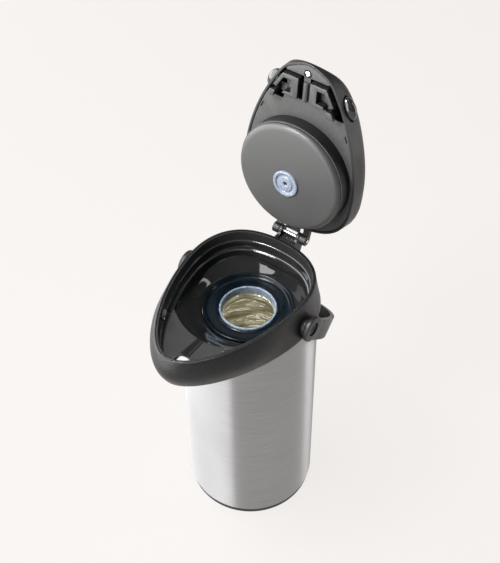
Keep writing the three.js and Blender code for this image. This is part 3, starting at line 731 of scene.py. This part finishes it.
def make_tray():
    """One skin: up the outside, over the rim, down inside over the bead, across the floor, down the
    funnel and back underneath. The wall above the bead is grained like the collar."""
    outer = inset(rim, COLLAR_LIP + GAP)
    wall = inset(rim, RIM_INNER)
    foot = inset(rim, 6.4)
    top = RIM_Z - GAP
    floor = TRAY_FLOOR
    bead = 1.3

    def down(z):
        return mixed(wall, foot, (top - z) / (top - floor - 2.6))

    rows = [
        at(wall, floor - 4.5), at(outer, top - 0.5), at(inset(outer, 0.3), top - 0.08),
        at(inset(outer, 0.6), top), at(inset(wall, -0.4), top), at(inset(wall, -0.1), top - 0.15),
        at(wall, top - 0.6)]
    rows += [at(down(z), z) for z in (357, 353, TRAY_BEAD + 0.9, TRAY_BEAD + 0.7)]
    for turn in range(0, 91, 15):
        out = bead * math.sin(math.radians(turn))
        rise = bead * math.cos(math.radians(turn))
        rows.append(at(inset(down(TRAY_BEAD), out), TRAY_BEAD - 0.9 + rise))
    rows += [at(inset(down(z), 1.1 * smooth(z, floor + 3, TRAY_BEAD)), z) for z in (345, 342, 339)]
    rows += [
        at(foot, floor + 2.6), at(inset(foot, 0.3), floor + 1.4), at(inset(foot, 1.0), floor + 0.45),
        at(inset(foot, 2.4), floor)]
    circles = funnel_circles(22)
    rows += [
        at(funnel_ring(inset(foot, 2.6 + 0.02 * k), radius, centre), min(z, floor))
        for k, (radius, centre, z) in enumerate(circles)]
    share = (WELL_R + WALL) / WELL_R
    rows.append([(x * share, y * share, z - WALL) for x, y, z in rows[-1]])
    below = inset(rim, 7.2)
    for radius, centre, z in circles[-3::-4]:
        rows.append(at(funnel_ring(below, radius + WALL, centre), min(z, floor) - WALL))
    groove = [(-4.5, 0.05), (4.5, 0.05), (0, -2.1)]
    channel = loft([[(x, y, floor + z) for x, z in groove] for y in (SPOUT_Y, -60)])
    solid = cut(loft(rows, closed=True), channel, disc(SPOUT_R, 0, SPOUT_Y, floor - 9, floor + 3, 96))
    tray = piece("drip_tray", solid, "body", GLOSS, ["inner_tray"], 40)
    tray.data.materials.append(CASE)
    for face in tray.data.polygons:
        if face.center.z > (TRAY_BEAD + 0.8) * MM:
            face.material_index = 1
    lip = prism([(36.6, -97.2), (42.4, -97.2), (48.2, -86), (42.3, -86)], 353.6, 356.4, 0.4)
    piece("catch_lip_right", lip.copy(), "body", GLOSS)
    piece("catch_lip_left", mirrored(lip), "body", GLOSS)


# ---- handle ----
def strap_edge(grow, steps=96):
    """One edge of the level strap in plan, as half of a squarish ellipse."""
    power = 2 / HANDLE_SQUARE
    points = []
    for i in range(steps + 1):
        turn = math.pi * i / steps
        x = math.copysign(abs(math.cos(turn)) ** power, math.cos(turn))
        y = math.sin(turn) ** power
        points.append((x * (HANDLE_INNER + grow), y * (HANDLE_REACH + grow)))
    return points


def make_handle():
    half = HANDLE_WIDTH / 2
    contour = strap_edge(HANDLE_WALL) + list(reversed(strap_edge(0)))
    strap = prism(contour, PIVOT_Z - half, PIVOT_Z + half)
    eye = rod(HANDLE_EYE, HANDLE_INNER, HANDLE_INNER + HANDLE_WALL, 0, PIVOT_Z, 96, 1.2)
    solid = join(strap, eye, mirrored(eye))
    solid = cut(solid, rod(8, -95, 95, 0, PIVOT_Z, 64))
    bm = bmesh.new()
    bm.from_mesh(solid)
    bmesh.ops.dissolve_limit(bm, angle_limit=math.radians(1), verts=bm.verts, edges=bm.edges)
    mesh = from_bmesh(bm)              # flat facets merged, so that the rounding runs clean
    nodes = ["carry_handle"]
    band = piece("handle_strap", sealed(mesh), "handle", CASE, nodes, 35, "handle")
    soften(band, 0.9, 3, 50)
    for side, name in ((1, "right"), (-1, "left")):
        head = fillet([
            (0, 2.2, 0), (3, 2.3, 2), (5.6, 3.6, 1), (6.4, HANDLE_WALL - 1.4, 0.4),
            (7.6, HANDLE_WALL - 1.6, 0.5), (7.6, GAP), (4.2, GAP), (4.2, -5.6), (0, -5.6)])
        mesh = across(turned(head, 72), HANDLE_INNER, 0, PIVOT_Z)
        if side < 0:
            mesh = mirrored(mesh)
        piece(f"pivot_cap_{name}", mesh, "body", CASE, [f"pivot_pin_{name}"])
    mesh = rod(PIN_R, -ARM[1] - 1, ARM[1] + 1, HINGE_Y, HINGE_Z, 48, 0.4)
    piece("hinge_rod", mesh, "body", BRIGHT, ["hinge_pin"])


# ---- lid ----
def lid_reach(y):
    """How far the lid's outline stands outside the rim's, along its length."""
    cheek = LID_CHEEK * math.exp(-((y + 121) / 13) ** 2)
    return LID_TAIL * smooth(y, 5, 60) + cheek - LID_BLUNT * smooth(-y, 120, 138)


lid_outline = outward(inset(rim, LID_INSET), lid_reach)


def lid_wall_top(y):
    """Height at which the lid's wall turns into its crown."""
    return LID_BOTTOM + 0.3 + LID_WALL * (1 - math.exp(-(y + LID_TIP) / 16))


def crown_rise(y):
    """How much higher the crown ends than the wall."""
    return CROWN_R * (1 - 0.6 * math.exp(-(y + LID_TIP) / 12))


def lid_dome(skin):
    """The lid's outer surface, or the surface one wall inside it."""
    def lifted(shape, height):
        return [(x, y, height(oy)) for (x, y), (_, oy) in zip(shape, lid_outline)]

    def ring(angle):
        side = math.cos(math.radians(angle))
        up = math.sin(math.radians(angle))
        inward = skin + (CROWN_R - skin) * (1 - side)
        shape = outward(lid_outline, lambda y: LID_BULGE * smooth(y, -10, 50) * side - inward)
        return lifted(shape, lambda y: lid_wall_top(y) + (crown_rise(y) - skin) * up)

    wall = ring(0)
    if skin:
        rows = [at(inset(lid_outline, skin), LID_BOTTOM - 1)]
    else:
        rows = [
            at(inset(lid_outline, 0.7), LID_BOTTOM), at(inset(lid_outline, 0.15), LID_BOTTOM + 0.15),
            at(lid_outline, LID_BOTTOM + 0.25)]
    foot = rows[-1]
    for t in (0.33, 0.66):
        rows.append([tuple(a[k] + (b[k] - a[k]) * t for k in range(3)) for a, b in zip(foot, wall)])
    rows += [ring(angle) for angle in range(0, 91, 10)]
    for reach, rise in ((6, 0.35), (12, 0.8), (26, 1.2), (40, 1.2)):
        shape = outward(lid_outline, lambda y: -CROWN_R - reach)
        rows.append(lifted(shape, lambda y: lid_wall_top(y) + crown_rise(y) - skin + rise))
    return loft(rows)


def hinge_arm(x0, x1):
    knuckle = rod(KNUCKLE_R, x0, x1, HINGE_Y, HINGE_Z, edge=0.6)
    web = side_plate([
        (58, 361.4), (HINGE_Y - 7, 361.4), (HINGE_Y, HINGE_Z - KNUCKLE_R), (HINGE_Y + KNUCKLE_R, HINGE_Z),
        (HINGE_Y + 4, HINGE_Z + 5.5), (58, 371)], x0 + 0.2, x1 - 0.2)
    return join(knuckle, web)


def button_bulge():
    """The ellipsoid that a release button is cut from."""
    b = SIDE_BUTTON
    bm = bmesh.new()
    bmesh.ops.create_uvsphere(bm, u_segments=64, v_segments=32, radius=1)
    mesh = from_bmesh(bm)
    turn = Matrix.Rotation(math.radians(b["turn"]), 4, "Z")
    size = Matrix.Diagonal((b["out"], b["along"], b["up"], 1))
    mesh.transform(Matrix.Translation((b["x"], b["y"], b["z"])) @ turn @ size)
    return mesh


def button_window():
    """The oval hole in the lid's wall that a release button comes through."""
    b = SIDE_BUTTON
    mesh = turned([(0, -30), (1, -30), (1, 30), (0, 30)], 64)
    mesh.transform(Matrix.Rotation(math.pi / 2, 4, "Y"))
    size = Matrix.Diagonal((1, b["along"], b["up"] + 0.7, 1))
    mesh.transform(Matrix.Translation((b["x"] + 10, b["y"], b["z"])) @ size)
    return mesh


def make_lid_cover():
    inside = lid_dome(WALL)
    window = button_window()
    body = join(lid_dome(0), block(-20, 20, -86, -66, 392, LOCK_SEAT, 1.2))
    body = cut(body, inside, block(-17.6, 17.6, -83.6, -68.4, 380, LOCK_SEAT - WALL))
    body = cut(
        body, disc(BUTTON_R + 0.5, 0, PUMP_Y, 380, 410, 128), window, mirrored(window),
        block(-11, 11, -78.4, -73.6, 380, 402))

    # The lid's inside faces and those facing down take painted shade.
    def inside_in_shade(centre, normal):
        inward = normal.x * centre.x + normal.y * centre.y < -8
        return centre.z > LID_BOTTOM + 0.5 and (inward or normal.z < -0.3)

    piece("lid_shell", body, "lid", CASE, ["lid_cover"], 30, "lid", inside_in_shade)
    shelf = block(-EAR[0] + GAP, EAR[0] - GAP, 71, HINGE_Y - 3, LID_BOTTOM + GAP, LID_BOTTOM + 3.5, 0.5)
    piece("lid_hinge_shelf", shelf, "lid", CASE, (), 30, "lid")
    arm = cut(hinge_arm(*ARM), lid_dome(0), rod(PIN_R + GAP, 0, 30, HINGE_Y, HINGE_Z))
    piece("lid_arm_right", arm.copy(), "lid", CASE, (), 30, "lid")
    piece("lid_arm_left", mirrored(arm), "lid", CASE, (), 30, "lid")


# Plan outlines on the right-hand side: the latch's window, frame, hook and barb. The left mirrors
# them, as it does the slot beside the dome, which is drawn on the left.
WINDOW_PLAN = [
    (3.9, -119), (24.6, -119), (30, -124), (50, -100), (50, -84), (27, -84), (25, -91), (3.9, -91)]
FRAME_PLAN = [
    (7.2, -117), (26.2, -117), (36.4, -99.8), (33, -97.8), (26, -110.2), (24.4, -111.8), (15.4, -111.8),
    (15.4, -97.2), (24, -96.4), (26, -93.2), (7.2, -93.2)]
HOOK_PLAN = [(31, -97), (34.8, -97), (38.8, -89), (33.2, -89)]
BARB_PLAN = [(31, -97), (37, -97), (41, -89), (33.2, -89)]
SLOT_PLAN = [(-54.2, -63), (-52.6, -62.6), (-49.6, -69.6), (-51.2, -70)]


def make_lid_panel():
    edge = inset(lid_outline, WALL + 0.5)
    sheet = loft([
        at(inset(edge, 0.8), PANEL_BOTTOM), at(inset(edge, 0.2), PANEL_BOTTOM + 0.2),
        at(edge, PANEL_BOTTOM + 0.8), at(edge, PANEL_TOP)])
    rib = turned(fillet([(0, -11), (3.3, -11, 1.2), (3.3, 11, 1.2), (0, 11)]), 48)
    rib.transform(Matrix.Translation((0, -102.5, PANEL_BOTTOM - 0.4)) @ Matrix.Rotation(math.pi / 2, 4, "X"))
    through = (350, 370)
    window = prism(WINDOW_PLAN, *through)
    slot = prism(SLOT_PLAN, through[0], PANEL_TOP - 0.8)
    solid = join(sheet, rib, block(-2.6, 2.6, -109, -99, PANEL_TOP - 0.5, 374))
    solid = cut(
        solid, disc(DOME_R + 0.4, 0, PUMP_Y, *through, 192), window, mirrored(window),
        disc(4.5, 0, SCREW_Y, *through, 48), slot, mirrored(slot))

    # The panel's side walls, away from the middle rib, take painted shade.
    def walled(centre, normal):
        return abs(normal.z) < 0.5 and abs(centre.x) > 3.6 and PANEL_BOTTOM + 0.1 < centre.z

    plate = piece("lid_inner_plate", solid, "lid", INNER, ["lid_panel"], 30, "lid", walled)
    soften(plate, 0.35, 2, 60)

    head = turned(fillet([
        (0, PANEL_TOP), (3.3, PANEL_TOP), (3.3, PANEL_BOTTOM - 0.1, 0.6), (2.2, PANEL_BOTTOM - 0.75, 0.5),
        (0, PANEL_BOTTOM - 0.8)]), 64, SCREW_Y)
    cross_top = PANEL_BOTTOM + 0.7
    cross = [
        block(-2, 2, SCREW_Y - 0.45, SCREW_Y + 0.45, 355, cross_top),
        block(-0.45, 0.45, SCREW_Y - 2, SCREW_Y + 2, 355, cross_top)]
    piece("cross_screw", cut(head, *cross), "lid", BRIGHT, ["panel_screw"], 30, "lid")


def make_latches():
    solid = join(
        prism(FRAME_PLAN, LATCH_LOW, LATCH_TOP, 0.5), block(7.8, 25.6, -112.6, -94.4, 364.4, LATCH_TOP + 0.6),
        block(24, 32, -100.6, -91, 363.8, LATCH_TOP + 0.6), prism(HOOK_PLAN, 350.8, LATCH_TOP, 0.3),
        prism(BARB_PLAN, 350, 353, 0.35), block(19, 21.4, -109, -99, LATCH_TOP, 374, 0.3))
    core = inset(lid_outline, 5.4)
    button = cut(button_bulge(), loft([at(core, 355), at(core, 385)]))

    # The latches' steep side faces take painted shade.
    def steep(_, normal):
        return abs(normal.z) < 0.4

    for name, flip in (("right", False), ("left", True)):
        latch = sealed(mirrored(solid) if flip else solid)
        push = mirrored(button) if flip else button.copy()
        body = f"release_{name}"
        stands_for = [f"latch_slider_{name}"]
        piece(f"latch_{name}", latch, body, INNER, stands_for, 35, "lid", steep)
        piece(f"side_button_{name}", push, body, GLOSS, [f"release_button_{name}"], 40, "lid")


def make_pump():
    r, wall, rounding, crown = DOME_R, 2.3, 9, 2.5
    flange = PANEL_TOP + GAP
    face = [(x, DOME_FACE + crown * (x / r) ** 2) for x in range(0, 51, 5)]
    inside = [(x, z + wall) for x, z in reversed(face)]
    corner = DOME_FACE + crown
    profile = fillet([
        *face, (r, corner, rounding), (r, flange), (r + 2.4, flange), (r + 2.4, 366.4), (r - wall, 366.4),
        (r - wall, corner + wall, rounding - wall), *inside], 10)
    cup = cut(turned(profile, 192, PUMP_Y), disc(VALVE_R + GAP, 0, 0, 330, 345, 96))

    # The dome's side wall takes painted shade.
    def side(centre, normal):
        return abs(normal.z) < 0.3 and centre.z > DOME_FACE + 5

    piece("pump_dome", cup, "lid", SATIN, ["pump_housing"], 30, "lid", side)
    band = [(r - 0.8, 345.2), (r + 0.8, 345.5, 0.3), (r + 0.8, 347.3, 0.3), (r - 0.8, 347.6)]
    ring = turned(fillet(band), 192, PUMP_Y)
    piece("dome_ring", ring, "lid", RUBBER, ["dome_seal_ring"], 35, "lid")
    valve = turned(fillet([
        (2.2, 336.4, 0.3), (3.4, 335.7, 0.5), (8.2, 335.9, 0.4), (9, 337.0, 0.5), (11.2, 337.0, 0.5),
        (12.2, 335.3, 0.5), (14.6, 335.2, 0.6), (VALVE_R, 336.2, 0.5), (VALVE_R, 341), (2.2, 341)], 4), 96)
    piece("valve_disc", valve, "lid", VALVE, ["air_valve"], 50, "lid")
    top = BUTTON_TOP
    button = turned(fillet([
        (0, top - 1.5), (20, top - 1.4, 10), (33.5, top - 0.2, 6), (37.5, top - 0.1, 3),
        (BUTTON_R, top - 2, 1.6), (BUTTON_R, 392.6), (BUTTON_R + 4, 392.6), (BUTTON_R + 4, 390.2),
        (37.6, 390.2), (37.6, top - 4.4), (0, top - 5)], 6), 160, PUMP_Y)
    piece("pump_top", button, "pump", GLOSS, ["pump_button"], 35, "lid")


def make_lock():
    knob_top = LOCK_SEAT + 2.6
    foot_top = LOCK_SEAT - WALL - GAP
    solid = join(
        block(-8, 8, -81, -71, LOCK_SEAT + GAP, knob_top, 0.6),
        block(-5, 5, -78, -74, foot_top - 1, knob_top - 1),
        block(-7, 7, -82.4, -69.6, foot_top - 3, foot_top))
    for x in (-4.5, -1.5, 1.5, 4.5):
        solid = join(solid, block(x - 0.6, x + 0.6, -80, -72, knob_top - 0.8, knob_top + 0.6, 0.25))
    piece("lock_knob", solid, "lock", CASE, ["lock_slider"], 35, "lid")


make_shell()
make_base()
make_liner()
make_collar()
make_tray()
make_handle()
make_lid_cover()
make_lid_panel()
make_latches()
make_pump()
make_lock()


# ---- CAD nodes kept as they are, with better materials ----
KEPT = {
    "liner_cushion": (RUBBER, "rubber"),
    "pump_bellows": (RUBBER, "rubber"),
    "pump_spring": (BRIGHT, "bright_steel"),
    "latch_spring_right": (BRIGHT, "bright_steel"),
    "latch_spring_left": (BRIGHT, "bright_steel"),
}
for node, (material, slot) in KEPT.items():
    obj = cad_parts[node]
    obj.data.materials.clear()
    obj.data.materials.append(material)


def squeeze(node):
    """Gives a spring or the bellows a copy of its mesh of its own."""
    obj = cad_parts[node]
    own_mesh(obj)


bpy.context.view_layer.update()
squeeze("pump_bellows")
squeeze("pump_spring")
squeeze("latch_spring_right")
squeeze("latch_spring_left")


# ---- camera ----
CAMERA_REACH = 0.7985        # metres from the body's axis
CAMERA_HEIGHT = 1.2176
CAMERA_BEARING = 36.63       # degrees from straight in front of the tip
LOOK_BEARING = 36.45         # degrees, as are the next two
LOOK_DOWN = 47.33
ROLL = -0.85
LENS = 69.39                 # millimetres, as is the sensor
SENSOR = 36


def make_camera():
    bearing = math.radians(CAMERA_BEARING)
    look = math.radians(LOOK_BEARING)
    down = math.radians(LOOK_DOWN)
    roll = math.radians(ROLL)
    flat = math.cos(down)
    forward = Vector((-math.sin(look) * flat, math.cos(look) * flat, -math.sin(down)))
    level = Vector((math.cos(look), math.sin(look), 0))
    above = level.cross(forward)
    right = level * math.cos(roll) + above * math.sin(roll)
    up = right.cross(forward)
    data = bpy.data.cameras.new("camera")
    data.lens = LENS
    data.sensor_width = SENSOR
    camera = bpy.data.objects.new("camera", data)
    place = Vector((math.sin(bearing) * CAMERA_REACH, -math.cos(bearing) * CAMERA_REACH, CAMERA_HEIGHT))
    camera.matrix_world = Matrix((
        (right.x, up.x, -forward.x, place.x),
        (right.y, up.y, -forward.y, place.y),
        (right.z, up.z, -forward.z, place.z),
        (0, 0, 0, 1)))
    bpy.context.scene.collection.objects.link(camera)
    bpy.context.scene.camera = camera


make_camera()


# ---- floor and light, in metres, watts and degrees ----
FLOOR_HALF = 12


def make_floor():
    """A large pale sheet, mostly glowing, so that it stays even however the object is lit."""
    m = Nodes("studio_floor")
    tone = m.noise(0.7, 2)
    m.feed(m.ramp(tone, (0.3, (0.050, 0.048, 0.047)), (0.7, (0.053, 0.051, 0.050))), "Base Color")
    m.set(Roughness=1.0, Specular_IOR_Level=0.0)
    m.set(Emission_Color=(0.913, 0.880, 0.855, 1), Emission_Strength=0.915)
    bm = bmesh.new()
    bmesh.ops.create_grid(bm, x_segments=1, y_segments=1, size=FLOOR_HALF)
    mesh = from_bmesh(bm)
    mesh.materials.append(m.material)
    floor = bpy.data.objects.new("floor", mesh)
    bpy.context.scene.collection.objects.link(floor)


def softbox(name, bearing, distance, height, width, tall, watts, aim=0.3):
    """A soft rectangle of light on a bearing from the body's axis, turned towards the object."""
    angle = math.radians(bearing)
    data = bpy.data.lights.new(name, "AREA")
    data.shape = "RECTANGLE"
    data.size = width
    data.size_y = tall
    data.energy = watts
    light = bpy.data.objects.new(name, data)
    light.location = (math.sin(angle) * distance, -math.cos(angle) * distance, height)
    light.rotation_euler = (Vector((0, 0, aim)) - light.location).to_track_quat("-Z", "Y").to_euler()
    bpy.context.scene.collection.objects.link(light)


def make_light():
    softbox("left_wall", bearing=-49, distance=1.3, height=1.2, width=4.4, tall=2.4, watts=190, aim=1.2)
    softbox("right_strip", bearing=132, distance=1.4, height=0.7, width=0.5, tall=1.4, watts=8, aim=0.5)
    softbox("lid_key", bearing=-35, distance=0.24, height=0.86, width=0.14, tall=0.14, watts=6.4, aim=0.66)
    softbox("rear_card", bearing=-143, distance=1.4, height=1.6, width=1.2, tall=0.8, watts=2.4)
    softbox("overhead", bearing=0, distance=0.1, height=2.2, width=0.8, tall=0.8, watts=3)
    world = bpy.data.worlds.new("studio")
    world.use_nodes = True
    background = world.node_tree.nodes["Background"]
    background.inputs["Color"].default_value = (1, 0.99, 0.98, 1)
    background.inputs["Strength"].default_value = 0.12
    bpy.context.scene.world = world


make_floor()
make_light()
bpy.context.scene.view_settings.view_transform = "Standard"
